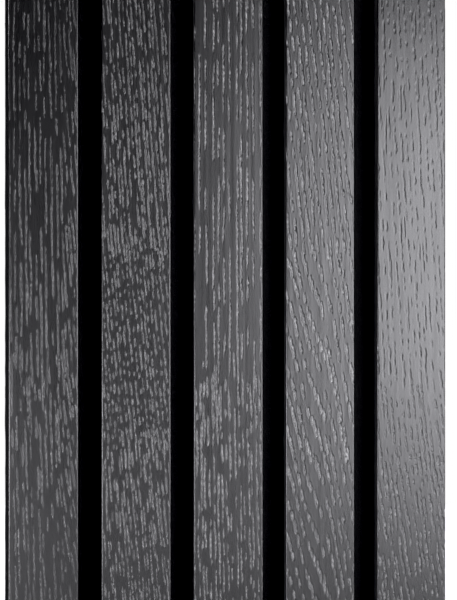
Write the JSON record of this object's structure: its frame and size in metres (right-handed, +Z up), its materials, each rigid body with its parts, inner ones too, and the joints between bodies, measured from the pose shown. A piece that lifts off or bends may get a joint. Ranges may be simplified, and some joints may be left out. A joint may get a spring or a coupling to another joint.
{
  "type": "acoustic slat panel",
  "caption": "Acoustic wall panel: upright black oak slats with open gaps between them, fixed to a sound-absorbing felt backing board that lies flat on the wall.",
  "frame": {"origin": "centre of the felt board's back face, in the wall plane", "axes": "+Z up along the slats, +Y out of the back face into the wall, +X along the row of slats, so the slats face -Y"},
  "size_m": [0.194, 0.021, 0.3],
  "materials": {
    "black_oak": "open-pored oak face under satin black lacquer",
    "black_felt": "pressed black felt, matt and fibrous",
    "staple_wire": "zinc-coated flat wire"
  },
  "bodies": {
    "root": {"felt_backing": "black_felt", "slat_1": "black_oak", "slat_2": "black_oak", "slat_3": "black_oak", "slat_4": "black_oak", "slat_5": "black_oak", "staples": "staple_wire"}
  },
  "joints": []
}
